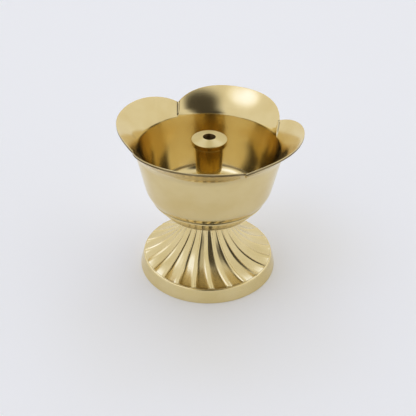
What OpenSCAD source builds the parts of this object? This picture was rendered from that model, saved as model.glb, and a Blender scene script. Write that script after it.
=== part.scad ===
// Footed brass oil lamp (diya): a four-petalled bowl clamped on a fluted pedestal
// by a screwed wick holder, with an oil seal under the holder's flange.
// Millimetres. +Z is up and the origin is the centre of the foot on the table.
// The four petals point along +X, +Y, -X and -Y.

/* [Foot] */
// Diameter of the foot on the table
foot_d = 48; // [44:0.5:58]
// Diameter of the plain band at its top
band_top_d = 45.4; // [44.6:0.2:46]
// Height of the plain band
band_h = 4.9; // [3.5:0.1:6]
// Wall of the foot at the table
foot_wall = 1.7; // [1.2:0.1:2.5]

/* [Flare] */
// Diameter of the circle where the flutes end
flute_edge_d = 44.4; // [38:0.2:44.4]
// Diameter of the waist
waist_d = 12.4; // [11:0.2:15]
// Height of the waist above the table
waist_z = 20.8; // [17:0.2:22]
// How far the plain neck ring stands out from the waist
neck_lip = 0.2; // [0.1:0.05:0.5]
// Radius of the flare's hollow curve
flare_r = 22; // [16:0.5:40]
// Wall of the flare, from the crests to the hollow
flare_wall = 2.4; // [1.8:0.1:3]

/* [Flutes] */
// Number of flutes round the flare
flute_n = 24; // [12:1:32]
// Depth of a flute at the edge
flute_depth_edge = 0.65; // [0.2:0.05:0.9]
// Depth of a flute at the waist
flute_depth_waist = 0.3; // [0.1:0.05:0.5]
// Height of the crests above the band
crest_rise = 0.6; // [0.5:0.05:1.2]
// Turn of a crest from the waist out to the edge, in degrees
flute_sweep = 9; // [0:1:25]
// Bearing of the first crest at the edge, in degrees
flute_bearing = -6; // [-15:1:15]

/* [Collar] */
// Diameter of the collar that the bowl sits on
collar_d = 22; // [18:0.5:26]
// Height of the collar's upright edge
collar_edge = 1.8; // [1.4:0.1:2.4]
// Height of the seat on top of the collar
seat_z = 25.4; // [24:0.2:30]

/* [Bowl] */
// Diameter of the bowl's foot ring
ring_d = 31.2; // [28:0.2:33]
// Depth of the recess inside the foot ring
ring_recess = 1.2; // [0.8:0.1:1.6]
// Diameter of the centre line of the bead above the foot ring
bead_d = 37.8; // [36.4:0.2:38]
// Radius of the bead's section
bead_r = 0.5; // [0.3:0.05:0.7]
// Height of the bead's centre above the foot ring
bead_h = 4.75; // [4:0.05:5.4]
// Width of the groove between the bead and the body
groove_w = 0.35; // [0.2:0.05:0.6]
// Diameter of the body at the groove
groove_d = 39.4; // [38.6:0.2:40]
// Outer diameter of the body at the crease under the petals
crease_d = 48.4; // [46:0.2:54]
// Height of the crease above the seat
crease_h = 21; // [17:0.5:28]
// Lean of the wall from upright, in degrees
wall_lean = 12; // [4:0.5:14]
// Radius of the belly's outer curve
belly_r = 9; // [8.4:0.2:11]
// Wall of the body
wall = 1.15; // [0.9:0.05:1.4]
// Thickness of the floor
floor_t = 2; // [1.6:0.1:3]
// Length of the inner wall that runs straight below the crease
inner_straight = 8.3; // [6:0.1:10]
// Radius of the inner wall below that
inner_r = 30; // [24:1:40]
// Radius of the curve between the inner wall and the floor
floor_r = 4; // [3:0.2:5]

/* [Petals] */
// Diameter across opposite petal tips
petal_tip_d = 61; // [58:0.2:68]
// Height of the petal tips above the crease
petal_h = 8.6; // [7:0.1:12]
// Radius of a petal's outline, seen from above
petal_r = 20.5; // [17:0.5:26]
// Radius of the bend from the wall into the petals, inside
petal_bend_r = 3; // [2:0.5:7]
// Radius of a petal's outward curl from the bend to its tip, inside
petal_curl_r = 28; // [22:1:60]
// Thickness of a petal
petal_t = 0.9; // [0.7:0.05:1.15]

/* [Wick holder] */
// Diameter of the head at its rim
head_d = 11.7; // [11.4:0.1:14]
// Diameter of the head at its underside
head_under_d = 11.4; // [9.6:0.1:11.6]
// Height of the head's side
head_side = 1.9; // [1:0.1:2.5]
// Rise of the head's cone from its rim to the bore
head_rise = 0.8; // [0.4:0.1:2]
// Diameter of the shank under the head
shank_top_d = 9.1; // [8.2:0.1:9.5]
// Diameter of the shank at the flange
shank_low_d = 8.2; // [7.2:0.1:9]
// Length of the shank from the flange to the head
shank_l = 18.4; // [12:0.1:24]
// Diameter of the flange that presses the seal
flange_d = 11.2; // [9.6:0.1:14]
// Thickness of the flange
flange_t = 1.2; // [0.8:0.1:2]
// Diameter of the bore that holds the wick
wick_bore_d = 4.1; // [2.4:0.1:4.6]
// Diameter of the cross hole that lets oil into the bore
port_d = 2.4; // [1.4:0.1:3]
// Height of the cross hole's lower edge above the flange
port_rise = 0.6; // [0.3:0.1:2]

/* [Thread] */
// Outer diameter of the holder's screw tail
thread_d = 6.35; // [5.6:0.05:6.6]
// Pitch of the thread
thread_pitch = 1.27; // [1:0.01:1.5]
// Depth of the thread
thread_depth = 0.75; // [0.5:0.05:0.85]
// Length of screw tail that engages the pedestal
thread_reach = 9.9; // [6:0.1:11]

/* [Seal and fits] */
// Thickness of the seal washer
seal_t = 0.8; // [0.5:0.1:1.5]
// Radial clearance between the screw tail and the tapped hole
thread_gap = 0.24; // [0.2:0.02:0.3]
// Radial clearance of the tail through the seal and the bowl's floor
tail_gap = 0.3; // [0.2:0.05:0.5]
// Radial clearance between the collar and the bowl's recess
collar_gap = 0.2; // [0.1:0.05:0.4]

/* [Hidden] */

$fn = 96;
arc_steps = 10;           // straight steps along a turned curve
bead_steps = 6;           // straight steps round the bead
flute_steps = 6;          // facets across one flute
flare_rings = 12;         // facets along a flute
thread_sides = 16;        // facets round the thread
thread_slices = 14;       // facets along one turn of the thread
overlap = 0.5;            // how far a joined solid is sunk into its neighbour
past = 1;                 // how far a cut runs past the face it opens
petal_n = 4;
hollow_stop = 0.3;        // share of the flare, from the waist, that stays solid
petal_overrun = 2.5;      // degrees of its curl that a petal is drawn past its tip
bead_start = -50;         // direction in the bead's section where it leaves the foot, in degrees
thread_flank = 1.2;       // steepness of the thread's flanks
thread_flat = 0.1;        // how much of that steepness goes into the flat root and crest

brass = "#C9B25E";
bright_brass = "#D3BC62";
leather = "#6B4A2F";

// Heights of the stack, from the table up
ring_z = seat_z - ring_recess;
bead_z = ring_z + bead_h;
groove_z = bead_z + bead_r + groove_w;
floor_z = seat_z + floor_t;
crease_z = seat_z + crease_h;
tip_z = crease_z + petal_h;
flange_z = floor_z + seal_t;
shank_z = flange_z + flange_t;
head_z = shank_z + shank_l;
rim_z = head_z + head_side;
bore_top_z = rim_z + head_rise;
tail_end_z = seat_z - thread_reach;

// Bore and cross hole of the wick holder: the hole opens just above the blind end
port_z = shank_z + port_rise + port_d / 2;
bore_end_z = port_z - port_d / 2;

// A petal's outline is an arc about a centre that lies this far from the axis
petal_offset = petal_tip_d / 2 - petal_r;

// The flare's curve runs from the waist down to the edge of the flutes
flare_edge = [flute_edge_d / 2, band_h + crest_rise];
flare_waist = [waist_d / 2, waist_z];
flare_centre = arc_centre(flare_waist, flare_edge, flare_r, 1);
flare_a0 = bearing(flare_waist - flare_centre);
flare_a1 = bearing(flare_edge - flare_centre);
hollow_r = flare_r + flare_wall;
hollow_top = flare_centre + hollow_r * unit(flare_a0 + hollow_stop * (flare_a1 - flare_a0));
hollow_foot = flare_centre + hollow_r * unit(flare_a1);

// The bowl's wall leans outwards by wall_lean, and the curves below it are tangent to it
wall_dir = [sin(wall_lean), cos(wall_lean)];
wall_out = [cos(wall_lean), -sin(wall_lean)];
crease_outer = [crease_d / 2, crease_z];
crease_inner = crease_outer - wall * wall_out;

// Vector of length 1 in the direction a, in degrees
function unit(a) = [cos(a), sin(a)];

// Direction of a 2-D vector, in degrees from 0 to 360
function bearing(v) = let (a = atan2(v[1], v[0])) a < 0 ? a + 360 : a;

// Centre of the circle of radius r through p and q, on the chosen side of the line p to q
function arc_centre(p, q, r, side) =
    let (d = q - p, h = sqrt(r * r - d * d / 4))
    (p + q) / 2 + side * h * [-d[1], d[0]] / norm(d);

// Points of an arc from direction a0 to a1; first = 1 leaves out the point shared with the arc before
function arc(c, r, a0, a1, steps = arc_steps, first = 0) =
    [for (i = [first:steps]) c + r * unit(a0 + (a1 - a0) * i / steps)];

// Outer belly: an arc tangent to the outer wall that passes through the groove's upper edge
groove_edge = [groove_d / 2, groove_z];
belly_line = crease_outer - belly_r * wall_out;
belly_t = let (g = groove_edge - belly_line, along = g * wall_dir)
    along + sqrt(belly_r * belly_r - pow(g * wall_out, 2));
belly_centre = belly_line + belly_t * wall_dir;

// Inner curve: a wide arc tangent to the inner wall, and a tight one tangent to it and to the floor
inner_centre = crease_inner - inner_straight * wall_dir - inner_r * wall_out;
inner_meet = asin((inner_centre[1] - floor_z - floor_r) / (inner_r - floor_r));
floor_centre = inner_centre + (inner_r - floor_r) * unit(-inner_meet);

// Petal: the wall bends outwards along a circle that is tangent to it at the crease, and the petal runs on
// along a wider circle, tangent to the first, through its tip. Slopes are measured from upright.
petal_tip = [petal_tip_d / 2, tip_z];
bend_centre = crease_inner + petal_bend_r * wall_out;
curl_shift = petal_curl_r - petal_bend_r;
petal_slope = let (v = petal_tip - bend_centre)
    acos((v * v + pow(curl_shift, 2) - pow(petal_curl_r, 2)) / (2 * curl_shift * norm(v))) - bearing(v);
curl_centre = bend_centre + curl_shift * unit(-petal_slope);
end_slope = acos((curl_centre[0] - petal_tip[0]) / petal_curl_r) + petal_overrun;

// Outside, the petal starts where its outer face meets the line of the outer wall
curl_outer_r = petal_curl_r - petal_t;
petal_start = let (w = crease_outer - curl_centre, along = w * wall_dir)
    crease_outer + wall_dir * (sqrt(along * along - w * w + pow(curl_outer_r, 2)) - along);

// One closed half section of the bowl, before the petals are cut to outline
function bowl_section() = concat(
    [[0, seat_z], [collar_d / 2 + collar_gap, seat_z], [collar_d / 2 + collar_gap, ring_z]],
    [[ring_d / 2, ring_z]],
    arc([bead_d / 2, bead_z], bead_r, bead_start, 90, bead_steps),
    arc(belly_centre, belly_r, bearing(groove_edge - belly_centre) - 360, -wall_lean),
    arc(curl_centre, curl_outer_r, bearing(petal_start - curl_centre), 180 - end_slope),
    arc(curl_centre, petal_curl_r, 180 - end_slope, 180 - petal_slope),
    arc(bend_centre, petal_bend_r, 180 - petal_slope, 180 - wall_lean, first = 1),
    arc(inner_centre, inner_r, -wall_lean, -inner_meet),
    arc(floor_centre, floor_r, -inner_meet, -90, first = 1),
    [[0, floor_z]]
);

// Half section of the foot band, filled to the axis
module foot_band() {
    rotate_extrude()
        polygon([[0, 0], [foot_d / 2, 0], [band_top_d / 2, band_h], [0, band_h]]);
}

// Radius and height of the flare at share u from the waist to the edge, sunk by depth
function flare_point(u, depth) =
    flare_centre + (flare_r + depth) * unit(flare_a0 + (flare_a1 - flare_a0) * u);

// Hollow of one flute across its width: nothing at both crests, deepest in the middle
function flute_hollow(t) = 4 * t * (1 - t);

// One ring of the fluted flare at share u, with its crests turned along the sweep
function flute_ring(u) =
    let (
        depth = flute_depth_waist + (flute_depth_edge - flute_depth_waist) * u,
        reach = (flare_point(u, 0)[0] - flare_waist[0]) / (flare_edge[0] - flare_waist[0]),
        turn = flute_bearing - flute_sweep * (1 - reach)
    )
    [for (j = [0:flute_n * flute_steps - 1])
        let (
            p = flare_point(u, depth * flute_hollow((j % flute_steps) / flute_steps)),
            a = turn + 360 * j / (flute_n * flute_steps)
        )
        [p[0] * cos(a), p[0] * sin(a), p[1]]];

// The fluted flare as one closed mesh, with a skirt that sinks into the foot band
module fluted_flare() {
    count = flute_n * flute_steps;
    rings = [for (i = [0:flare_rings]) flute_ring(i / flare_rings)];
    skirt = [for (p = rings[flare_rings]) [p[0], p[1], band_h - overlap]];
    all_rings = concat(rings, [skirt]);
    last = len(all_rings) - 1;
    top = len(all_rings) * count;
    bottom = top + 1;
    points = concat(
        [for (ring = all_rings) each ring],
        [[0, 0, waist_z], [0, 0, band_h - overlap]]
    );
    sides = [for (i = [0:last - 1], j = [0:count - 1])
        let (a = i * count + j, b = i * count + (j + 1) % count)
        each [[a, b, b + count], [a, b + count, a + count]]];
    caps = [for (j = [0:count - 1])
        let (k = (j + 1) % count)
        each [[top, k, j], [bottom, last * count + j, last * count + k]]];
    polyhedron(points, concat(sides, caps), convexity = 10);
}

// Neck and collar: a plain ring at the waist, a cone, and the upright edge of the seat
module neck_and_collar() {
    neck = waist_d / 2 + neck_lip;
    collar_low = seat_z - collar_edge;
    rotate_extrude()
        polygon([
            [0, waist_z - overlap], [neck, waist_z - overlap], [neck, waist_z + overlap],
            [collar_d / 2, collar_low], [collar_d / 2, seat_z], [0, seat_z]
        ]);
}

// The hollow under the foot, which follows the flare and stops below the tapped neck
module foot_hollow() {
    a0 = bearing(hollow_top - flare_centre);
    a1 = bearing(hollow_foot - flare_centre);
    rotate_extrude()
        polygon(concat(
            [[0, -past], [foot_d / 2 - foot_wall, -past], [foot_d / 2 - foot_wall, 0]],
            arc(flare_centre, hollow_r, a1, a0),
            [[0, hollow_top[1]]]
        ));
}

// A right-handed screw of outer radius r between two heights; every screw keeps one helix
module screw(r, z0, z1) {
    turns = (z1 - z0) / thread_pitch;
    // Share of the thread's depth at direction a: a flat crest, two flanks and a flat root
    function crest(a) = min(1, max(0, thread_flank * (1 - abs(a) / 180) - thread_flat));
    section = [for (i = [0:thread_sides - 1])
        let (a = 360 * i / thread_sides - 180)
        (r - thread_depth * (1 - crest(a))) * unit(a)];
    translate([0, 0, z0])
        rotate(360 * z0 / thread_pitch)
            linear_extrude(height = z1 - z0, twist = -360 * turns,
                           slices = ceil(thread_slices * turns), $fn = thread_sides)
                polygon(section);
}

module pedestal() {
    color(brass)
        difference() {
            union() {
                foot_band();
                fluted_flare();
                neck_and_collar();
            }
            foot_hollow();
            screw(thread_d / 2 + thread_gap, hollow_top[1] - past, seat_z + past);
        }
}

// The outline of the four petals seen from above, as overlapping discs
module petal_outline() {
    for (i = [0:petal_n - 1])
        rotate(360 * i / petal_n)
            translate([petal_offset, 0, 0])
                cylinder(r = petal_r, h = tip_z + petal_h);
}

module bowl() {
    color(brass)
        difference() {
            intersection() {
                rotate_extrude() polygon(bowl_section());
                petal_outline();
            }
            translate([0, 0, seat_z - past])
                cylinder(d = thread_d + 2 * tail_gap, h = floor_t + 2 * past);
        }
}

module seal_washer() {
    color(leather)
        translate([0, 0, floor_z])
            difference() {
                cylinder(d = flange_d, h = seal_t);
                translate([0, 0, -past])
                    cylinder(d = thread_d + 2 * tail_gap, h = seal_t + 2 * past);
            }
}

module wick_holder() {
    color(bright_brass)
        difference() {
            union() {
                rotate_extrude()
                    polygon([
                        [0, flange_z], [flange_d / 2, flange_z], [flange_d / 2, shank_z],
                        [shank_low_d / 2, shank_z], [shank_top_d / 2, head_z],
                        [head_under_d / 2, head_z], [head_d / 2, rim_z],
                        [wick_bore_d / 2, bore_top_z], [0, bore_top_z]
                    ]);
                screw(thread_d / 2, tail_end_z, flange_z + overlap);
            }
            translate([0, 0, bore_end_z])
                cylinder(d = wick_bore_d, h = bore_top_z - bore_end_z + past);
            translate([-flange_d / 2, 0, port_z])
                rotate([0, 90, 0])
                    cylinder(d = port_d, h = flange_d);
        }
}

pedestal();
bowl();
seal_washer();
wick_holder();
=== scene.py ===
"""Looks of a footed brass oil lamp (diya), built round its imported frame.

Each piece is a closed surface on a grid: rows run along its half section and columns run round the axis.
A half section is a line of (radius, height) points in millimetres, walked with the metal on its left,
so that every face points outwards.
"""
import math

import bpy
import numpy as np
from mathutils import Matrix, Vector


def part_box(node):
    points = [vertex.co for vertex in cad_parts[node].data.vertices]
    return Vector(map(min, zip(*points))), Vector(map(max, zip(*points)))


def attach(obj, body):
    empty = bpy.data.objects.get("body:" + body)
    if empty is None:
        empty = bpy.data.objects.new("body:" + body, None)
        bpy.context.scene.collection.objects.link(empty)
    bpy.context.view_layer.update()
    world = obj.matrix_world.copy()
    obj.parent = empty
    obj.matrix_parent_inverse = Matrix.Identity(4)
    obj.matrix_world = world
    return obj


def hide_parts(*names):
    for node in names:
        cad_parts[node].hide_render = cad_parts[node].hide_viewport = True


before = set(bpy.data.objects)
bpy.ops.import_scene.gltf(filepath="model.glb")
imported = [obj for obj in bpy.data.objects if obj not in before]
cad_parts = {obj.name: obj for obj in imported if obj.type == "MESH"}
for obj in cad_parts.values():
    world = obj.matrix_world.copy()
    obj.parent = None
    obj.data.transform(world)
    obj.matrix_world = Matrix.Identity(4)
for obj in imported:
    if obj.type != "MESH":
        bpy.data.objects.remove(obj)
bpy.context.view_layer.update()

MM = 0.001


def node_box(node):
    """Lowest and highest corner of a node, in millimetres."""
    low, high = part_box(node)
    return np.array(low) / MM, np.array(high) / MM


# Places that come from the frame
foot_r, seat_z = node_box("pedestal")[1][[0, 2]]
ring_z = node_box("bowl")[0][2]
tip_r, tip_z = node_box("bowl")[1][[0, 2]]
floor_z = node_box("seal_washer")[0][2]
seal_r, flange_z = node_box("seal_washer")[1][[0, 2]]
tail_end_z = node_box("wick_holder")[0][2]
head_r, bore_top_z = node_box("wick_holder")[1][[0, 2]]

# Screw thread, shared by the holder's tail and the tapped neck
thread_r = 3.175
thread_pitch = 1.27
thread_depth = 0.75
thread_gap = 0.24
thread_flat = 0.1        # share of a flank's height that is cut off at the crest, and at the root
thread_rows = 7          # rows of the grid in one turn of the thread
tail_gap = 0.3
tail_hole_r = thread_r + tail_gap


# Section lines

def unit(angle):
    """Vectors of length 1 at angles in degrees, as (radius, height)."""
    turned = np.radians(angle)
    return np.stack([np.cos(turned), np.sin(turned)], axis=-1)


def arc(centre, radius, start, end, count):
    """Points on a circle from one direction to another, both in degrees."""
    return np.asarray(centre) + radius * unit(np.linspace(start, end, count))


def bearing(vector):
    """Direction of a vector, in degrees."""
    return math.degrees(math.atan2(vector[1], vector[0]))


def arc_centre(start, end, radius, side):
    """Centre of the circle of that radius through two points, on the left (1) or right (-1) of their line."""
    chord = end - start
    height = math.sqrt(radius ** 2 - chord @ chord / 4)
    return (start + end) / 2 + side * height * np.array([-chord[1], chord[0]]) / np.linalg.norm(chord)


def soften(points, cuts, steps=6, support=0.7):
    """A closed or open line with its corners rounded.

    A corner C with a cut is replaced by the parabola (1-t)^2 A + 2t(1-t) C + t^2 B, where A and B lie a cut
    away on its two sides. A further point past each end of the parabola, a share of the cut away, keeps the
    straight runs flat when they are shaded smooth. A point with no cut stays as it is.
    """
    points = np.asarray(points, float)
    cuts = np.asarray(cuts, float)[:, None]
    back = np.roll(points, 1, axis=0) - points
    ahead = np.roll(points, -1, axis=0) - points
    back /= np.linalg.norm(back, axis=1, keepdims=True)
    ahead /= np.linalg.norm(ahead, axis=1, keepdims=True)
    start = (points + cuts * back)[:, None]
    end = (points + cuts * ahead)[:, None]
    corner = points[:, None]
    t = np.linspace(0, 1, steps)[None, :, None]
    curve = (1 - t) ** 2 * start + 2 * t * (1 - t) * corner + t ** 2 * end
    lead = (points + (1 + support) * cuts * back)[:, None]
    tail = (points + (1 + support) * cuts * ahead)[:, None]
    rows = np.concatenate([lead, curve, tail], axis=1)
    kept = np.ones(rows.shape[:2], bool)
    kept[cuts[:, 0] == 0, 1:] = False
    return rows[kept]


def line(*stretches):
    """One line and its cuts, from arrays of smooth points and corners given as (radius, height, cut)."""
    points, cuts = [], []
    for stretch in stretches:
        smooth = isinstance(stretch, np.ndarray)
        points.append(stretch if smooth else np.array([stretch[:2]]))
        cuts.append(np.zeros(len(stretch)) if smooth else np.array([stretch[2]]))
    return np.concatenate(points), np.concatenate(cuts)


def smoothstep(x):
    """0 below 0, 1 above 1, and a smooth rise between."""
    x = np.clip(x, 0, 1)
    return x * x * (3 - 2 * x)


# Grids and meshes

def around(section, columns):
    """Carries a section round the axis: rows x columns x (radius, height), the same at every column."""
    return np.repeat(section[:, None, :], columns, axis=1)


def spread(polar, turn):
    """Rows x columns x (radius, height) and the turn of each point in degrees, as x, y, z."""
    turned = np.radians(turn)
    radius, height = polar[..., 0], polar[..., 1]
    return np.stack([radius * np.cos(turned), radius * np.sin(turned), height], axis=-1)


def grid_faces(rows, columns, closed):
    """Quads of a grid that closes round its columns, and round its rows too where it is a ring."""
    index = np.arange(rows * columns).reshape(rows, columns)
    above = np.roll(index, -1, axis=0)
    if not closed:
        index, above = index[:-1], above[:-1]
    quads = [index, np.roll(index, -1, axis=1), np.roll(above, -1, axis=1), above]
    return np.stack(quads, axis=-1)


def make_piece(name, points, quads, body, node, material, shares=None, fans=()):
    """A smooth mesh object from points in millimetres, riding on a body in place of its node.

    quads are the grid's faces, and fans the triangles at its poles. shares are named values at the points,
    from 0 to 1, which the material reads.
    """
    mesh = bpy.data.meshes.new(name)
    mesh.from_pydata(points.reshape(-1, 3) * MM, [], quads.reshape(-1, 4).tolist() + list(fans))
    mesh.shade_smooth()
    for label, share in (shares or {}).items():
        values = mesh.attributes.new(label, "FLOAT", "POINT").data
        values.foreach_set("value", share.ravel().astype(np.float32))
    mesh.materials.append(material)
    piece = bpy.data.objects.new(name, mesh)
    bpy.context.scene.collection.objects.link(piece)
    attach(piece, body)
    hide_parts(node)
    return piece


def thread_crest(turn, height):
    """Share of the thread's depth at a turn and height: crest, flanks and root follow a helix."""
    from_crest = np.abs((turn - 360 * height / thread_pitch + 180) % 360 - 180)
    return np.clip((1 + 2 * thread_flat) * (1 - from_crest / 180) - thread_flat, 0, 1)


# Bowl

recess_r = 11.2
foot_ring_r = 15.6
bead_r = 0.5
bead_start = -50         # direction in which the bead leaves the foot ring, in degrees
bead_at = np.array([18.9, ring_z + 4.75])
groove_edge = np.array([19.7, ring_z + 5.6])
crease_r = 24.2
crease_z = seat_z + 21
wall_lean = 12           # degrees out of upright
wall_t = 1.15
belly_r = 9.0
straight_l = 8.3         # length of the inner wall that runs straight below the crease
inner_r = 30.0           # radius of the inner wall below that
floor_r = 4.0            # radius of the turn from the inner wall into the floor
bead_rows = 12
belly_rows = 26
inner_rows = 24
floor_rows = 20

# How much is rounded off the bowl's turned edges
hole_edge = 0.2
recess_edge = 0.15
ring_edge = 0.25
groove_lip = 0.1
hole_row_low = 0.6       # heights above the seat of two plain rows in the tail's hole
hole_row_high = 1.2

# Petals
notch_r = 26.2
petal_power = 2.5        # a higher power gives squarer petals
bend_r = 3.0             # radius of the bend from the wall into the petals, inside
lip_r = 28.0             # radius of the petals' curl from the bend to the rim
petal_t = 0.7            # thickness of the petals at the rim
thinning_l = 4.0         # length over which the wall thins into the petals
rim_cut_out = 0.22       # how much of the rim's two corners is rounded off
rim_cut_in = 0.16
rim_back = 0.7           # length of the petal that the rim's own rows take up
rim_spare = 0.02         # how far the petals stay inside the frame's width
petal_cup = 0.2          # how far a petal's sides stand in from its middle
fold_step = 0.22         # half the step at a notch, where the front and back petals lap the side ones
fold_flank = 0.22        # half width of that step's flank
fold_fade = 4.0          # distance over which the step fades out on either side
fold_rise = 2.6          # length above the crease over which the step and the cup come in
fold_back = 4            # a higher power keeps the step's outer side nearer to the rim
fold_drifts = np.array([11, 4, 4, 4])   # degrees by which a step's line leans at the crease, notch by notch
petal_columns = 96
notch_crowding = 0.75    # how much closer the columns lie at a notch
flare_rows = 30

# Painted shade on the bowl: where it lies, and its share of 1
groove_shade = 0.3        # reach of the painted shade in the groove, and how far below the groove's edge its middle lies
under_top = 4.2          # height above the foot ring up to which the underside carries painted shade
under_fade = 3.0
under_shade = 0.6
fold_shade = 0.8
cut_fade = 0.1           # depth from the inner face over which the cut of the rim takes on painted shade
cut_reach = 0.3          # how far behind the cut the painted shade reaches under the rim


def petal_line():
    """Turn of every column, and its place across its petal from -1 at one notch to 1 at the next.

    Within a petal the turn is 45 (u + k sin(pi u) / pi) degrees, which crowds the columns at the notches.
    """
    u = np.arange(petal_columns) / petal_columns * 2 - 1
    within = 45 * (u + notch_crowding * np.sin(np.pi * u) / np.pi)
    petals = np.arange(4)[:, None] * 90
    return (petals + within).ravel(), np.tile(within / 45, 4)


def bowl_piece(material):
    """The bowl: a turned cup whose rim flares into four petals.

    The body is one half section carried round the axis. Inside, the wall runs straight down from the crease,
    then along a wide arc and a tight one into the floor. At the crease the wall bends outwards along a circle
    and runs on as a lip, a wide arc tangent to that circle through the petal's tip. Each column of the lip
    stops at the petal's outline, whose reach falls from the tip to the notch by a power of the place across
    the petal, and ends in a rim that is cut upright. A petal's sides stand in by the square of the place
    across it. At a notch the front or back petal laps the side one with a step, h tanh(x / w) exp(-|x| / l)
    at a distance x from the notch. Its line leans towards the side petal on its way down: the columns below
    the rim turn by a share of -sin(2 turn). Outside, the step shows only near the rim.
    """
    turn, place = petal_line()
    columns = len(turn)
    lean_up = np.array([math.sin(math.radians(wall_lean)), math.cos(math.radians(wall_lean))])
    lean_out = np.array([lean_up[1], -lean_up[0]])
    crease_out = np.array([crease_r, crease_z])
    crease_in = crease_out - wall_t * lean_out

    # Belly: tangent to the wall, through the groove's upper edge
    belly_line = crease_out - belly_r * lean_out
    to_groove = groove_edge - belly_line
    belly_at = belly_line + lean_up * (
        to_groove @ lean_up + math.sqrt(belly_r ** 2 - (to_groove @ lean_out) ** 2))
    belly = arc(belly_at, belly_r, bearing(groove_edge - belly_at), -wall_lean, belly_rows)

    # Inner curve: a wide arc tangent to the wall, and a tight one tangent to it and to the floor
    inner_at = crease_in - straight_l * lean_up - inner_r * lean_out
    meet = math.degrees(math.asin((inner_at[1] - floor_z - floor_r) / (inner_r - floor_r)))
    floor_at = inner_at + (inner_r - floor_r) * unit(-meet)
    inner_curve = np.concatenate([
        arc(inner_at, inner_r, -wall_lean, -meet, inner_rows),
        arc(floor_at, floor_r, -meet, -90, floor_rows)[1:]])

    # Bend and lip: slopes are measured from upright
    bend_at = crease_in + bend_r * lean_out
    to_tip = np.array([tip_r, tip_z]) - bend_at
    away = np.linalg.norm(to_tip)
    between = lip_r - bend_r
    lip_turn = math.acos((away ** 2 + between ** 2 - lip_r ** 2) / (2 * between * away))
    lip_slope = lip_turn - math.radians(bearing(to_tip))
    lip_at = bend_at - between * np.array([-math.cos(lip_slope), math.sin(lip_slope)])
    bend_l = bend_r * (lip_slope - math.radians(wall_lean))

    def sheet(length, depth):
        """Points at a length along the inner face from the crease, moved a depth inwards from that face."""
        on_lip = (length > bend_l)[..., None]
        past_bend = np.clip(length - bend_l, 0, None)
        slope = math.radians(wall_lean) + np.clip(length, 0, bend_l) / bend_r + past_bend / lip_r
        inwards = np.stack([-np.cos(slope), np.sin(slope)], axis=-1)
        centre = np.where(on_lip, lip_at, bend_at)
        return centre + (np.where(on_lip, lip_r, bend_r) + depth[..., None]) * inwards

    # Where each column's lip stops, at the petal's outline
    outline = tip_r - rim_spare - (tip_r - notch_r) * np.abs(place) ** petal_power
    stop = bend_l + lip_r * (np.arccos((lip_at[0] - outline) / lip_r) - lip_slope)

    # Rim: an upright cut with rounded corners, as lengths past the stop and depths from the inner face
    tip_slope = lip_slope + (stop.max() - bend_l) / lip_r
    undercut = petal_t / math.tan(tip_slope)
    rim = soften(*line(
        (-rim_back - undercut, -petal_t, 0), (-undercut, -petal_t, rim_cut_out), (0, 0, rim_cut_in),
        (-rim_back, 0, 0)))
    past, deep = rim[:, :1], rim[:, 1:]

    from_notch = outline * np.radians(45 * (1 - np.abs(place)))
    turned = np.radians(turn)
    lapping = np.where(np.abs(np.sin(turned)) > np.abs(np.cos(turned)), 1, -1)
    step = lapping * fold_step * np.tanh(from_notch / fold_flank) * np.exp(-from_notch / fold_fade)
    cup = petal_cup * place ** 2
    pinch = cup + step
    drift = -fold_drifts[(turn // 90).astype(int) % 4] * np.sin(2 * turned)
    share = np.linspace(0, 1, flare_rows + 1)[:-1, None]
    length = share * (stop - rim_back)
    back_length = share * (stop - rim_back - undercut)
    lean = drift * (1 - share)
    thickness = wall_t + (petal_t - wall_t) * smoothstep(back_length / thinning_l)

    bead = arc(bead_at, bead_r, bead_start, 90, bead_rows)
    outside = soften(*line(
        (tail_hole_r, seat_z + hole_row_low, 0), (tail_hole_r, seat_z, hole_edge),
        (recess_r, seat_z, recess_edge), (recess_r, ring_z, recess_edge), (foot_ring_r, ring_z, ring_edge),
        bead, (*groove_edge, groove_lip), belly[1:]))
    inside = soften(*line(
        inner_curve, (tail_hole_r, floor_z, hole_edge), (tail_hole_r, seat_z + hole_row_high, 0)))
    section = np.concatenate([
        around(outside, columns),
        sheet(back_length, cup * smoothstep(back_length / fold_rise) + step * share ** fold_back - thickness),
        sheet(stop + past, pinch + deep),
        sheet(length, pinch * smoothstep(length / fold_rise))[::-1],
        around(inside, columns),
    ])
    lean = np.concatenate([
        np.repeat(lean[:1], len(outside), axis=0),
        lean,
        np.zeros((len(rim), columns)),
        lean[::-1],
        np.repeat(lean[:1], len(inside), axis=0),
    ])
    points = spread(section, turn + lean)
    faces = grid_faces(*section.shape[:2], closed=True)

    radius, height = section[..., 0], section[..., 1]
    # Painted shade in the groove under the belly, darkest a little below the groove's edge
    from_groove = height - groove_edge[1] + groove_shade
    groove = np.exp(-(from_groove / groove_shade) ** 2) * (radius > foot_ring_r)
    # Painted shade on the underside, darker towards the bottom
    under = smoothstep((ring_z + under_top - height) / under_fade) * (radius > tail_hole_r)
    recess = np.maximum(groove, under_shade * under)
    # Painted shadow on the inner face of each lapped side petal, just beside its fold step
    foot = np.exp(-((from_notch * lapping + fold_flank) / fold_flank) ** 2) * smoothstep(length / fold_rise)
    inner_first = len(section) - len(inside) - flare_rows
    recess[inner_first:inner_first + flare_rows] = fold_shade * foot[::-1]
    # Painted shade along the rim's cut and just under its outer corner
    rim_first = len(outside) + flare_rows
    behind_cut = deep / math.tan(tip_slope) - past
    cut_edge = smoothstep((-deep - rim_cut_in) / cut_fade) * (1 - smoothstep(behind_cut / cut_reach))
    recess[rim_first:rim_first + len(rim)] = cut_edge
    return make_piece("petal_bowl", points, faces, "bowl", "bowl", material,
                      {"recess": recess})


# Pedestal

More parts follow.
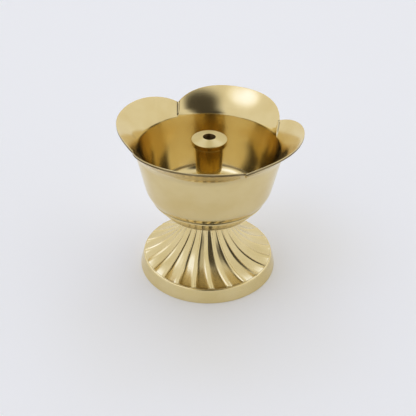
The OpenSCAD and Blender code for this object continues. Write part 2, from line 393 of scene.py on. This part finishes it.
band_top_r = 22.7
band_h = 4.9
foot_wall = 1.7
flute_edge_r = 22.2
crest_rise = 0.6
waist_r = 6.2
waist_z = 20.8
flare_r = 22.0
flare_wall = 2.4
flute_n = 24
flute_depth_edge = 0.55
flute_depth_waist = 0.3
flute_power = 4.0        # a higher power gives flatter flutes with sharper crests
crest_round = 0.06       # share of a flute's depth over which its crest is rounded
flute_sweep = 9          # degrees by which a crest turns between the edge and the waist
flute_bearing = -6       # turn of the first crest at the edge, in degrees
flute_columns = 18
crest_crowding = 0.8     # how much closer the columns lie at a crest
flute_rows = 56
skirt_rows = 7
vault_rows = 16
neck_lip = 0.2
neck_rise = 0.5
collar_r = 11.0
collar_edge = 1.8
hollow_stop = 0.3        # share of the flare, from the waist, that stays solid
thread_lead = 0.6        # length over which a thread fades out at its end
ledge_out = 0.12         # how far outside the flutes' edge the band's ledge starts
neck_step_out = 0.02     # the small step from the flutes up to the neck
neck_step_up = 0.05
mouth_w = 0.3            # width and depth of the cone at the mouth of the tapped hole
mouth_depth = 0.4
tap_row = 0.6            # height of a plain row in the tapped hole above the roof of the hollow

# How much is rounded off the pedestal's edges
tap_edge = 0.2
roof_edge = 0.6
foot_inner_edge = 0.3
band_edge = 0.35
neck_step_edge = 0.06
neck_edge = 0.15
collar_low_edge = 0.2
collar_top_edge = 0.25
mouth_edge = 0.1

# Painted shade on the pedestal, as shares of 1
flute_shade = 0.15
skirt_shade = 0.3
cavity_shade = 1.0
neck_shade = 0.6


def flute_line():
    """Turn of every column from the crest of the first flute, and the hollow of its flute there.

    Across a flute the place is t = v - k sin(2 pi v) / (2 pi), crowded at the crests, and the hollow is
    1 - |2t - 1|^p, with its crest rounded by taking the hypotenuse with a small share.
    """
    v = np.arange(flute_columns) / flute_columns
    t = v - crest_crowding * np.sin(2 * np.pi * v) / (2 * np.pi)
    sharp = 1 - np.abs(2 * t - 1) ** flute_power
    hollow = (np.hypot(sharp, crest_round) - crest_round) / (math.hypot(1, crest_round) - crest_round)
    turn = (np.arange(flute_n)[:, None] + t) * 360 / flute_n
    return turn.ravel(), np.tile(hollow, flute_n)


def pedestal_piece(material):
    """The pedestal: a plain foot band, a fluted flare, a neck and the collar with its tapped hole.

    The flare is an arc from the waist to the edge. Each flute sinks it along the arc's radius by a depth that
    grows towards the edge, and the crests turn with the radius, so they sweep round as they run out. The
    columns follow the sweep. In the tapped hole the radius follows the thread's helix.
    """
    turn, hollow = flute_line()
    columns = len(turn)
    edge = np.array([flute_edge_r, band_h + crest_rise])
    waist = np.array([waist_r, waist_z])
    flare_at = arc_centre(waist, edge, flare_r, 1)
    at_waist = bearing(waist - flare_at) % 360
    at_edge = bearing(edge - flare_at) % 360

    # Flutes, from the edge up to the waist
    share = np.linspace(1, 0, flute_rows)[:, None]
    direction = unit(at_waist + (at_edge - at_waist) * share)
    depth = flute_depth_waist + (flute_depth_edge - flute_depth_waist) * share
    flutes = flare_at + (flare_r + depth * hollow)[..., None] * direction
    crest_reach = (flare_at + flare_r * direction)[..., 0]
    sweep = flute_bearing - flute_sweep * (edge[0] - crest_reach) / (edge[0] - waist[0])

    # Ends of the flutes: each point of the edge is rounded over and down to the band's ledge
    ledge = np.array([flute_edge_r + ledge_out, band_h])
    over = np.stack([np.full(columns, ledge[0]), flutes[0, :, 1]], axis=-1)
    t = np.linspace(0, 1, skirt_rows)[:-1, None, None]
    skirt = (1 - t) ** 2 * ledge + 2 * t * (1 - t) * over + t ** 2 * flutes[0]

    # Plain turned sections below and above the flutes
    hollow_r = flare_r + flare_wall
    roof = at_waist + hollow_stop * (at_edge - at_waist)
    vault = arc(flare_at, hollow_r, roof, at_edge, vault_rows)
    tap_r = thread_r + thread_gap
    foot_inner = foot_r - foot_wall
    low = soften(*line(
        (tap_r, vault[0][1] + tap_row, 0), (tap_r, vault[0][1], tap_edge), (*vault[0], roof_edge), vault[1:],
        (foot_inner, 0, foot_inner_edge), (foot_r, 0, band_edge), (band_top_r, band_h, band_edge),
        ledge[None]))[:-1]
    neck_r = waist_r + neck_lip
    high = soften(*line(
        waist[None] + [neck_step_out, 0], (neck_r, waist_z + neck_step_up, neck_step_edge),
        (neck_r, waist_z + neck_rise, neck_edge), (collar_r, seat_z - collar_edge, collar_low_edge),
        (collar_r, seat_z, collar_top_edge), (tap_r + mouth_w, seat_z, mouth_edge),
        (tap_r, seat_z - mouth_depth, 0)))[1:]

    # Tapped hole, from the seat down to the roof of the hollow
    top_z, end_z = high[-1][1], low[0][1]
    count = int((top_z - end_z) / thread_pitch * thread_rows)
    height = np.linspace(top_z, end_z, count + 2)[1:-1, None]
    fade = smoothstep((top_z - height) / thread_lead) * smoothstep((height - end_z) / thread_lead)
    tapped_turn = turn + flute_bearing - flute_sweep
    depth_left = thread_depth * (1 - thread_crest(tapped_turn[None], height))
    tapped = np.stack([tap_r - fade * depth_left, np.broadcast_to(height, depth_left.shape)], axis=-1)

    section = np.concatenate([around(low, columns), skirt, flutes, around(high, columns), tapped])
    row_turn = np.concatenate([
        np.full(len(low) + len(skirt), flute_bearing), sweep[:, 0],
        np.full(len(high) + count, flute_bearing - flute_sweep)])
    # The columns unwind from the sweep between the tapped hole and the foot, along the hollow's roof
    unwind = np.linspace(-flute_sweep, 0, len(low))
    row_turn[:len(low)] += unwind
    points = spread(section, turn + row_turn[:, None])
    faces = grid_faces(*section.shape[:2], closed=True)

    recess = np.zeros(section.shape[:2])
    first = len(low) + len(skirt)
    # Painted shade in the flute bottoms, none on the crests
    recess[first:first + flute_rows] = flute_shade * hollow
    # Painted shade on the flutes' rounded ends, down to the band's ledge
    recess[len(low):first] = skirt_shade
    # Painted shade on the roof of the hollow inside the pedestal
    recess[:len(vault)] = cavity_shade
    # Painted shade on the neck, collar and tapped hole, under the bowl
    recess[first + flute_rows:] = neck_shade
    return make_piece("fluted_pedestal", points, faces, "pedestal", "pedestal", material,
                      {"recess": recess})


# Seal

seal_bulge = 0.06        # how far the middle of the outer edge is pressed out
seal_hole_edge = 0.15    # how much is rounded off the seal's edges
seal_outer_edge = 0.2
seal_columns = 128


def seal_piece(material):
    """The seal: a leather washer with its edges rounded over and its outer edge pressed out a little."""
    middle = (floor_z + flange_z) / 2
    pressed_r = seal_r - seal_bulge
    section = soften(*line(
        (tail_hole_r, floor_z, seal_hole_edge), (pressed_r, floor_z, seal_outer_edge),
        (seal_r, middle, seal_outer_edge), (pressed_r, flange_z, seal_outer_edge),
        (tail_hole_r, flange_z, seal_hole_edge)))
    turn = np.arange(seal_columns) * 360 / seal_columns
    points = spread(around(section, seal_columns), turn[None])
    faces = grid_faces(len(section), seal_columns, closed=True)
    return make_piece("leather_seal", points, faces, "seal_washer", "seal_washer", material)


# Wick holder

flange_t = 1.2
shank_low_r = 4.1
shank_top_r = 4.55
shank_l = 18.4
head_under_r = 5.7
head_side = 1.9
bore_r = 2.05
port_r = 1.2
port_rise = 0.6
drill_point = 1.2        # depth of the drill's cone at the blind end of the bore
drill_ring_r = 0.25      # radius of the ring next to the bore's pole, and the pole's depth below it
drill_tip = 0.12
tail_plain = 0.4         # length of the tail's plain end
tail_stop = 0.05         # how far below the flange the thread's rows stop
tail_ring_r = 0.3        # radius of the ring next to the tail's pole
holder_columns = 144
port_ring = 6            # cells from the middle of the hole to its edge
shank_cells = 12         # cells from the middle of the hole to the edge of its patch, on the shank
bore_cells = 18          # the same, in the bore
shank_patch = 1.65       # half height of the patch on the shank
bore_patch = 1.5         # half height of the patch in the bore
port_rims = (0.08, 0.92)  # rings of the hole's wall near its two ends, as shares of its length
smallest_ring = 1e-6     # stands in for 0 at the middle of the hole, so that nothing is divided by 0

# How much is rounded off the holder's edges
tail_edge = 0.2
flange_low_edge = 0.15
flange_top_edge = 0.2
shank_low_edge = 0.08
shank_top_edge = 0.15
head_low_edge = 0.25
head_rim_edge = 0.3
bore_edge = 0.2

# Painted shade on the holder as shares of 1, and the margins of its satin cone
bore_shade = 0.9
tail_shade = 0.8
bore_skin = 0.05
cone_margin = 0.1


def port_patch(turn, height, radius, cells, half_height, port_z):
    """Turns and heights of a square patch of grid points, bent so that its inner square becomes a round hole.

    A point's ring is the larger of its two cell counts from the middle. Its place round the ring gives a
    direction. Rings from the hole's edge outwards blend from the hole's circle to the patch's square.
    """
    a = turn / (360 / holder_columns)
    b = (height - port_z) / (half_height / cells)
    ring = np.maximum(np.maximum(np.abs(a), np.abs(b)), smallest_ring)
    side = np.abs(a) >= np.abs(b)
    around_side = np.where(a > 0, 45 * b / ring, 180 - 45 * b / ring)
    around_end = np.where(b > 0, 90 - 45 * a / ring, 270 + 45 * a / ring)
    way = np.radians(np.where(side, around_side, around_end))
    hole_turn = np.degrees(np.arcsin(port_r * np.cos(way) / radius))
    hole_height = port_z + port_r * np.sin(way)
    square_turn = turn * cells / ring
    square_height = port_z + (height - port_z) * cells / ring
    share = np.clip((ring - port_ring) / (cells - port_ring), 0, 1)
    return hole_turn + (square_turn - hole_turn) * share, hole_height + (square_height - hole_height) * share


def ring_order(column, row_at):
    """Grid indices of the square ring at a hole's edge, anticlockwise from outside, row by height cell."""
    k = port_ring
    run = np.arange(-k, k)
    a = np.concatenate([np.full(2 * k, k), -run, np.full(2 * k, -k), run])
    b = np.concatenate([run, np.full(2 * k, k), -run, np.full(2 * k, -k)])
    return row_at[b + k] * holder_columns + (column + a) % holder_columns


def wick_holder_piece(material):
    """The wick holder: a screwed tail, a flange, a tapered shank and a coned head round a blind bore.

    One half section runs from the tail's end to the bottom of the bore, with a pole at each end. The tail's
    radius follows the thread's helix. A cross hole joins the bore through two bent patches of the grid.
    """
    columns = holder_columns
    turn = (np.arange(columns) * 360 / columns + 180) % 360 - 180
    shank_z = flange_z + flange_t
    head_z = shank_z + shank_l
    rim_z = head_z + head_side
    port_z = shank_z + port_rise + port_r

    # Screwed tail
    tail_rows = int((flange_z - tail_end_z) / thread_pitch * thread_rows)
    plain_z = tail_end_z + tail_plain
    height = np.linspace(plain_z, flange_z - tail_stop, tail_rows)[:, None]
    fade = smoothstep((height - plain_z) / thread_lead)
    root_r = thread_r - thread_depth
    threaded = root_r + fade * thread_depth * thread_crest(turn[None], height)
    tail = np.stack([threaded, np.broadcast_to(height, threaded.shape)], axis=-1)
    tip = soften(*line(
        (tail_ring_r, tail_end_z, 0), (root_r, tail_end_z, tail_edge), (root_r, plain_z, 0)))[:-1]

    # Rows of the two patches
    shank_rows = np.linspace(port_z - shank_patch, port_z + shank_patch, 2 * shank_cells + 1)
    bore_rows = np.linspace(port_z + bore_patch, port_z - bore_patch, 2 * bore_cells + 1)

    def shank_r(z):
        """Radius of the shank at a height."""
        return shank_low_r + (shank_top_r - shank_low_r) * (z - shank_z) / shank_l

    on_shank = np.stack([shank_r(shank_rows), shank_rows], axis=-1)
    in_bore = np.stack([np.full(len(bore_rows), bore_r), bore_rows], axis=-1)
    body = soften(*line(
        (thread_r, flange_z, 0), (seal_r, flange_z, flange_low_edge), (seal_r, shank_z, flange_top_edge),
        (shank_low_r, shank_z, shank_low_edge), on_shank, (shank_top_r, head_z, shank_top_edge),
        (head_under_r, head_z, head_low_edge), (head_r, rim_z, head_rim_edge),
        (bore_r, bore_top_z, bore_edge), in_bore, (drill_ring_r, bore_rows[-1] - drill_point, 0)))
    section = np.concatenate([around(tip, columns), tail, around(body, columns)])
    rows = len(section)
    turns = np.broadcast_to(turn, (rows, columns)).copy()
    quads = grid_faces(rows, columns, closed=False)
    kept = np.ones(quads.shape[:2], bool)

    def open_port(middle_turn, cells, half_height, first, radius_at):
        """Bends one patch round the hole, marks the cells inside it for removal and returns its edge."""
        middle = int(round(middle_turn / 360 * columns)) % columns
        column = (middle + np.arange(-cells, cells + 1)) % columns
        row = first + np.arange(2 * cells + 1)
        pick = np.ix_(row, column)
        away = np.broadcast_to(np.arange(-cells, cells + 1) * 360 / columns, (len(row), len(column)))
        level = section[pick][..., 1]
        new_turn, new_height = port_patch(away, level, radius_at(level), cells, half_height, port_z)
        turns[pick] = new_turn + middle_turn
        section[pick] = np.stack([radius_at(new_height), new_height], axis=-1)
        inner = cells - port_ring + np.arange(2 * port_ring)
        kept[np.ix_(row[inner], column[inner])] = False
        by_height = row if level[0, 0] < level[-1, 0] else row[::-1]
        return ring_order(middle, by_height[cells - port_ring:cells + port_ring + 1])

    shank_first, bore_first = (
        int(np.argmin(np.linalg.norm(section[:, 0] - start, axis=-1))) for start in (on_shank[0], in_bore[0]))
    hole_walls = []
    for middle_turn in (0, 180):
        outer = open_port(middle_turn, shank_cells, shank_patch, shank_first, shank_r)
        inner = open_port(middle_turn, bore_cells, bore_patch, bore_first, lambda z: np.full(z.shape, bore_r))
        hole_walls.append((outer, inner))
    points = spread(section, turns).reshape(-1, 3)

    walls = [quads[kept]]
    for outer, inner in hole_walls:
        rings = [outer]
        for share in port_rims:
            rings.append(len(points) + np.arange(len(outer)))
            points = np.concatenate([points, points[outer] + share * (points[inner] - points[outer])])
        rings.append(inner)
        for near, far in zip(rings, rings[1:]):
            walls.append(np.stack([near, np.roll(near, -1), np.roll(far, -1), far], axis=-1))
    quads = np.concatenate(walls)

    # Poles at the tail's end and at the bottom of the bore
    poles = np.array([[0, 0, tail_end_z], [0, 0, bore_rows[-1] - drill_point - drill_tip]])
    low_pole, high_pole = len(points), len(points) + 1
    points = np.concatenate([points, poles])
    ring = np.arange(columns)
    after = np.roll(ring, -1)
    top = (rows - 1) * columns
    low_fan = np.stack([np.full(columns, low_pole), after, ring], axis=-1)
    high_fan = np.stack([np.full(columns, high_pole), top + ring, top + after], axis=-1)
    fans = np.concatenate([low_fan, high_fan])

    radius = np.hypot(points[:, 0], points[:, 1])
    # Painted shade in the bore and cross holes, and on the screwed tail below the flange
    in_hole = (radius < bore_r + bore_skin) & (points[:, 2] > shank_z)
    on_tail = points[:, 2] < flange_z
    recess = np.where(in_hole, bore_shade, np.where(on_tail, tail_shade, 0.0))
    on_cone = (radius > bore_r + cone_margin) & (points[:, 2] > rim_z - cone_margin)
    satin = on_cone.astype(float)

    # The points inside the holes belong to no face, so they are left out
    used = np.zeros(len(points), bool)
    used[quads] = True
    used[fans] = True
    renumber = np.cumsum(used) - 1
    return make_piece("wick_holder_screw", points[used], renumber[quads], "wick_holder", "wick_holder",
                      material, {"recess": recess[used], "satin": satin[used]},
                      renumber[fans].tolist())


# Materials

def srgb(hex_colour):
    """Linear colour with alpha from a hex sRGB colour."""
    value = np.array([int(hex_colour[i:i + 2], 16) for i in (1, 3, 5)]) / 255
    linear = np.where(value <= 0.04045, value / 12.92, ((value + 0.055) / 1.055) ** 2.4)
    return (*linear.tolist(), 1.0)


def add(tree, kind, inputs=None, **settings):
    """Adds a node with its settings; an input is a value, or a socket to link from."""
    made = tree.nodes.new("ShaderNode" + kind)
    for name, value in settings.items():
        setattr(made, name, value)
    for name, value in (inputs or {}).items():
        if isinstance(value, bpy.types.NodeSocket):
            tree.links.new(value, made.inputs[name])
        else:
            made.inputs[name].default_value = value
    return made


def blend(tree, share, first, second):
    """A colour between two, by a share from 0 to 1."""
    return add(tree, "Mix", {"Factor": share, 6: first, 7: second}, data_type="RGBA").outputs[2]


def feed(tree, node, sources):
    """Links named sockets of a node to the sockets that they read."""
    for name, source in sources.items():
        tree.links.new(source, node.inputs[name])


def new_material(name):
    """An empty node material and its Principled shader."""
    material = bpy.data.materials.new(name)
    material.use_nodes = True
    return material, material.node_tree, material.node_tree.nodes["Principled BSDF"]


shade_roughness = 0.4  # what full painted shade, or a satin cut, adds to the roughness
satin_roughness = 0.25
cloud_mm = 9.0           # size of the clouds in the polish
noise_low = 0.3          # the range that noise mostly keeps to
noise_high = 0.7
warm_from = 0.35         # level of the clouds at which the warmer tint sets in
least_shade = 0.65        # least share of the painted shade where the clouds thin it
cloud_smooth = 0.03      # how far the clouds lower and raise the roughness
cloud_rough = 0.04
streak_rough = 0.02      # how far the streaks do both
quarter_turn = 0.25      # turns the blur from along the rings to across them


def brass(name, colour, warm, shade_colour, roughness, lay, streak_mm, streak_um, grain_mm, grain_um):
    """Polished brass: yellow metal whose polish is streaked round the axis, cloudy, and rougher in its
    hollows, with painted shade there.

    Streaks are noise on (radius, height), so they run in circles as tool marks do, and the lay blurs
    reflections across them. Grain is noise in space. Where a share of painted shade is marked, the metal is
    darkened towards the shade colour and made rougher, and faces marked satin keep the marks of the last cut.
    """
    material, tree, shader = new_material(name)
    place = add(tree, "TexCoord").outputs["Object"]
    flat = add(tree, "VectorMath", {0: place, 1: (1, 1, 0)}, operation="MULTIPLY").outputs[0]
    radius = add(tree, "VectorMath", {0: flat}, operation="LENGTH").outputs["Value"]
    height = add(tree, "SeparateXYZ", {0: place}).outputs["Z"]
    ring = add(tree, "CombineXYZ", {"X": radius, "Z": height}).outputs[0]
    streaks = add(tree, "TexNoise", {"Vector": ring, "Scale": 1 / (streak_mm * MM), "Detail": 3}).outputs[0]
    grain = add(tree, "TexNoise", {"Vector": place, "Scale": 1 / (grain_mm * MM), "Detail": 3}).outputs[0]
    clouds = add(tree, "TexNoise", {"Vector": place, "Scale": 1 / (cloud_mm * MM), "Detail": 4}).outputs[0]
    recess = add(tree, "Attribute", attribute_name="recess").outputs["Fac"]
    satin = add(tree, "Attribute", attribute_name="satin").outputs["Fac"]

    noise_range = {1: noise_low, 2: noise_high}
    hue = add(tree, "MapRange", {0: clouds, 1: warm_from, 2: noise_high}).outputs[0]
    metal = blend(tree, hue, srgb(colour), srgb(warm))
    patchy = add(tree, "MapRange", {0: clouds, **noise_range, 3: least_shade, 4: 1.0}).outputs[0]
    # Painted shade: the marked share, thinned by the clouds, darkens the metal towards the shade colour and
    # roughens it
    shade_share = add(tree, "Math", {0: recess, 1: patchy}, operation="MULTIPLY").outputs[0]
    tone = blend(tree, shade_share, metal, srgb(shade_colour))

    cloud_range = {3: roughness - cloud_smooth, 4: roughness + cloud_rough}
    worn = add(tree, "MapRange", {0: clouds, **noise_range, **cloud_range}).outputs[0]
    lined = add(tree, "MapRange", {0: streaks, **noise_range, 3: -streak_rough, 4: streak_rough}).outputs[0]
    polish = add(tree, "Math", {0: worn, 1: lined}, operation="ADD").outputs[0]
    for share, rougher in ((shade_share, shade_roughness), (satin, satin_roughness)):
        polish = add(tree, "Math", {0: share, 1: rougher, 2: polish}, operation="MULTIPLY_ADD").outputs[0]

    relief = add(tree, "Bump", {"Height": streaks, "Distance": streak_um * MM * MM}).outputs[0]
    relief = add(tree, "Bump", {"Height": grain, "Distance": grain_um * MM * MM, "Normal": relief}).outputs[0]
    tangent = add(tree, "Tangent", direction_type="RADIAL", axis="Z").outputs[0]

    shader.inputs["Metallic"].default_value = 1.0
    shader.inputs["Anisotropic"].default_value = lay
    shader.inputs["Anisotropic Rotation"].default_value = quarter_turn
    feed(tree, shader, {"Base Color": tone, "Roughness": polish, "Normal": relief, "Tangent": tangent})
    return material


def turned_brass():
    """Turned and polished brass: soft reflections drawn out across faint lathe rings, a little cloudy.

    Real lathe rings are under 0.1 mm apart; they are drawn coarser so that they show.
    """
    return brass("turned_polished_brass", colour="#E4D19C", warm="#DEC88E", shade_colour="#4A3720", roughness=0.15,
                 lay=0.7, streak_mm=0.3, streak_um=1.5, grain_mm=0.3, grain_um=0.3)


def cast_brass():
    """Cast and buffed brass: a faint ripple under a high polish, bright crests, and painted shade in the
    flutes.
    """
    return brass("cast_buffed_brass", colour="#E8D6A2", warm="#E2CE94", shade_colour="#6A5228", roughness=0.15,
                 lay=0.2, streak_mm=0.5, streak_um=0.5, grain_mm=0.9, grain_um=2.0)


def bar_brass():
    """Bar brass as it comes off the lathe: a sharp mirror drawn out across the rings of the tool."""
    return brass("machined_bar_brass", colour="#D8C589", warm="#D1BC7D", shade_colour="#6B4420", roughness=0.08,
                 lay=0.9, streak_mm=0.2, streak_um=1.5, grain_mm=0.25, grain_um=0.2)


pebble_mm = 0.45         # size and depth of the leather's pebbles
pebble_depth_mm = 0.05
stain_mm = 2.0
oiled_roughness = 0.4    # roughness of the leather where it holds most oil, and where it is driest
dry_roughness = 0.62


def seal_leather():
    """Vegetable-tanned leather, pressed flat and soaked with oil: dark brown, pebbled, slightly shiny."""
    material, tree, shader = new_material("oiled_seal_leather")
    place = add(tree, "TexCoord").outputs["Object"]
    pebble = add(tree, "TexVoronoi", {"Vector": place, "Scale": 1 / (pebble_mm * MM)}).outputs["Distance"]
    stain = add(tree, "TexNoise", {"Vector": place, "Scale": 1 / (stain_mm * MM), "Detail": 4}).outputs[0]
    tone = blend(tree, stain, srgb("#4A2F1C"), srgb("#7A5432"))
    relief = add(tree, "Bump", {"Height": pebble, "Distance": pebble_depth_mm * MM}).outputs[0]
    polish = add(tree, "MapRange", {0: stain, 3: oiled_roughness, 4: dry_roughness}).outputs[0]
    feed(tree, shader, {"Base Color": tone, "Roughness": polish, "Normal": relief})
    return material


bowl_piece(turned_brass())
pedestal_piece(cast_brass())
seal_piece(seal_leather())
wick_holder_piece(bar_brass())


# Camera, at the angle that the photograph was taken from

camera_place = Vector((70.1, -193.4, 163.5)) * MM
camera_heading = 19.95
camera_pitch = 34.43
camera_roll = 0.83
camera_lens = 62.55
camera_sensor = 36
camera_nearest = 0.01    # closest distance that the camera sees, in metres

camera_data = bpy.data.cameras.new("camera")
camera_data.lens = camera_lens
camera_data.sensor_width = camera_sensor
camera_data.clip_start = camera_nearest
camera = bpy.data.objects.new("camera", camera_data)
bpy.context.scene.collection.objects.link(camera)
heading = Matrix.Rotation(math.radians(camera_heading), 4, "Z")
pitch = Matrix.Rotation(math.radians(90 - camera_pitch), 4, "X")
roll = Matrix.Rotation(math.radians(camera_roll), 4, "Z")
camera.matrix_world = Matrix.Translation(camera_place) @ heading @ pitch @ roll
bpy.context.scene.camera = camera


# Floor, light and background

# Soft patches of the room: the way to the middle, and the degrees from there to the core's rim and the edge
dark_patches = [((0.42, -0.50, 0.757), 14, 30), ((0.35, -0.82, 0.45), 14, 30)]
bright_patches = [
    ((-0.38, -0.33, 0.864), 2, 19), ((0.054, 0.613, 0.788), 6, 14), ((-0.435, 0.435, 0.788), 6, 14)]
bright_level = 2.4       # strength of the light there, against 1 in the rest of the room
floor_half = 3.0         # half the floor's side, in metres
floor_roughness = 0.7


def floor_piece():
    """A large pale square on which the lamp stands."""
    corners = [(floor_half * x, floor_half * y, 0) for x, y in ((-1, -1), (1, -1), (1, 1), (-1, 1))]
    mesh = bpy.data.meshes.new("floor")
    mesh.from_pydata(corners, [], [(0, 1, 2, 3)])
    material, tree, shader = new_material("pale_matt_floor")
    shader.inputs["Base Color"].default_value = srgb("#FCFBF6")
    shader.inputs["Roughness"].default_value = floor_roughness
    mesh.materials.append(material)
    piece = bpy.data.objects.new("floor", mesh)
    bpy.context.scene.collection.objects.link(piece)


def patch(tree, way, middle, core, edge):
    """A soft round patch of the room: 1 within the core's angle of its middle and 0 past its edge."""
    facing = add(tree, "VectorMath", {0: way, 1: middle}, operation="DOT_PRODUCT").outputs["Value"]
    limits = {1: math.cos(math.radians(edge)), 2: math.cos(math.radians(core))}
    return add(tree, "MapRange", {0: facing, **limits}, interpolation_type="SMOOTHSTEP").outputs[0]


def patches(tree, way, places):
    """Several soft patches as one: in each direction, the strongest of them."""
    joined = patch(tree, way, *places[0])
    for place in places[1:]:
        joined = add(tree, "Math", {0: joined, 1: patch(tree, way, *place)}, operation="MAXIMUM").outputs[0]
    return joined


def studio():
    """An even pale room with three soft patches of daylight and a dark side above and behind the camera."""
    world = bpy.data.worlds.new("studio")
    bpy.context.scene.world = world
    world.use_nodes = True
    tree = world.node_tree
    background = tree.nodes["Background"]
    way = add(tree, "TexCoord").outputs["Generated"]
    dark = patches(tree, way, dark_patches)
    bright = patches(tree, way, bright_patches)
    room = blend(tree, dark, srgb("#F3F3F5"), srgb("#4A4744"))
    colour = blend(tree, bright, room, srgb("#C8D4FF"))
    level = add(tree, "MapRange", {0: bright, 3: 1.0, 4: bright_level}).outputs[0]
    feed(tree, background, {"Color": colour, "Strength": level})


floor_piece()
studio()
bpy.context.scene.view_settings.view_transform = "Standard"
